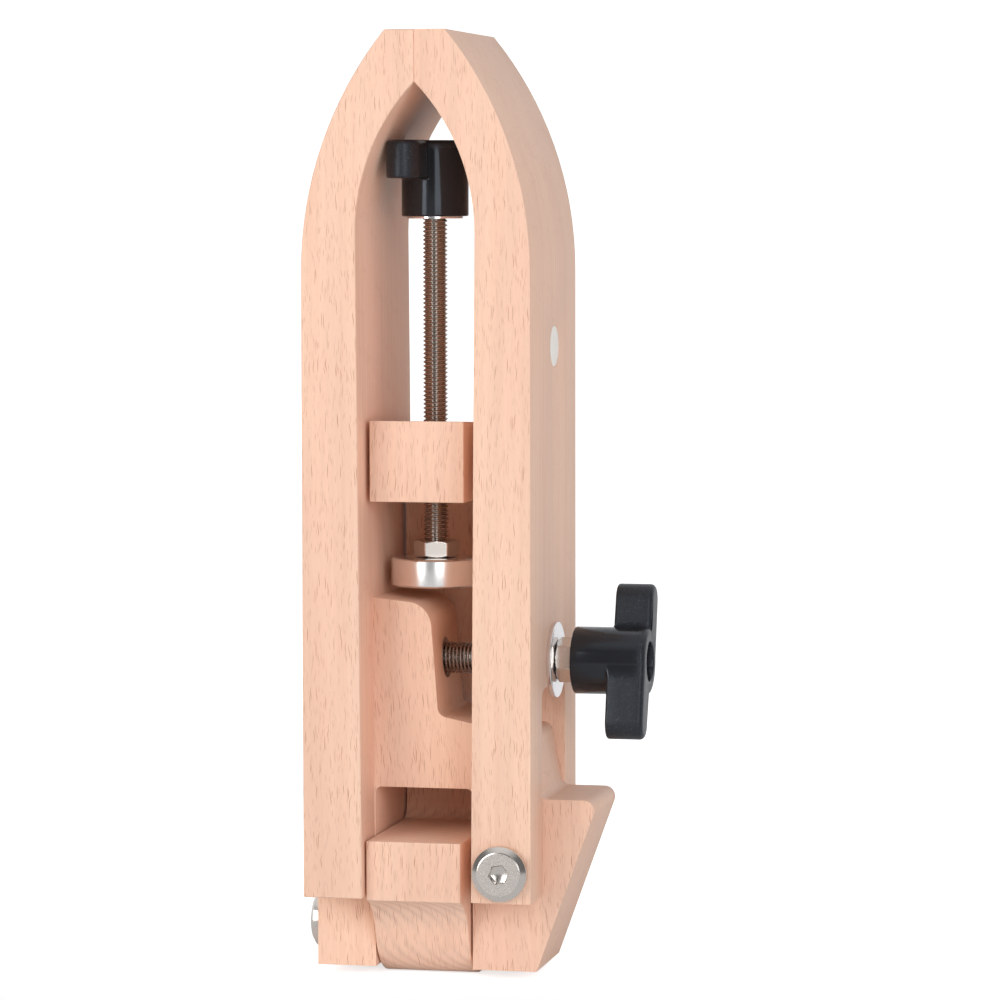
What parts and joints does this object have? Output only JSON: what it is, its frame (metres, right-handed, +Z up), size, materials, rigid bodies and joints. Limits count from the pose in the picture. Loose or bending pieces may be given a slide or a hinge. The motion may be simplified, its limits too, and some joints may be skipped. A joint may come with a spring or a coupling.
{
  "type": "stitching clamp",
  "caption": "Wooden stitching clamp with two arched arms, a side wing knob, and a fold-out frame with a screw and pad that grips a table edge.",
  "frame": {"origin": "in the plane that the clamp stands on, midway between the arms and halfway through their depth", "axes": "+X to the hinged arm and its wing knob, +Y to the back, +Z up to the arms' nose"},
  "size_m": [0.082, 0.0596, 0.2237],
  "materials": {
    "beech": "planed and sanded beech, thin clear finish",
    "stainless": "rolled stainless thread",
    "nickel": "nickel plate",
    "zinc": "bright zinc plate",
    "turned_aluminium": "turned",
    "black_plastic": "fine-grained moulding",
    "brass_insert": "plain",
    "magnet_face": "pale coat",
    "spring_wire": "drawn wire"
  },
  "bodies": {
    "base": {"base_body": "beech", "left_arm": "beech", "clamp_stud": "stainless", "clamp_stud_insert": "brass_insert", "arm_spring": "spring_wire", "fold_pivot_bolt": "nickel", "fold_pivot_washer": "zinc", "fold_pivot_insert": "brass_insert"},
    "right_arm": {"right_arm": "beech", "needle_magnet": "magnet_face", "arm_pivot_bolt": "nickel", "arm_pivot_nut": "nickel"},
    "clamp_washer": {"clamp_washer": "zinc"},
    "clamp_knob": {"clamp_nut": "nickel", "clamp_knob": "black_plastic", "clamp_knob_insert": "brass_insert"},
    "folding_frame": {"folding_frame": "beech", "table_screw_insert": "brass_insert"},
    "table_screw": {"table_screw": "stainless", "table_knob": "black_plastic", "table_knob_insert": "zinc", "pad_disc": "turned_aluminium", "pad_lock_nut": "nickel"}
  },
  "joints": [
    {"name": "arm_open", "type": "hinge", "parent": "base", "child": "right_arm", "pos_m": [0.0202, 0, 0.0278], "axis": [0, 1, 0], "range_deg": [0, 5], "deforming": ["arm_spring"]},
    {"name": "clamp_travel", "type": "slide", "parent": "base", "child": "clamp_washer", "axis": [1, 0, 0], "range_m": [0, 0.0051]},
    {"name": "clamp_turn", "type": "hinge", "parent": "clamp_washer", "child": "clamp_knob", "pos_m": [0.0315, 0, 0.0752], "axis": [1, 0, 0], "range_deg": [0, 1825]},
    {"name": "frame_fold", "type": "hinge", "parent": "base", "child": "folding_frame", "pos_m": [0, 0, 0.0112], "axis": [-1, 0, 0], "range_deg": [0, 180]},
    {"name": "table_screw_turn", "type": "hinge", "parent": "folding_frame", "child": "table_screw", "pos_m": [-0.0013, 0, 0.1227], "axis": [0, 0, 1], "range_deg": [0, 31]}
  ],
  "couplings": [
    {"joint": "clamp_travel", "follows": "arm_open", "m_per_rad": 0.058},
    {"joint": "clamp_turn", "follows": "arm_open", "ratio": 364.4}
  ]
}
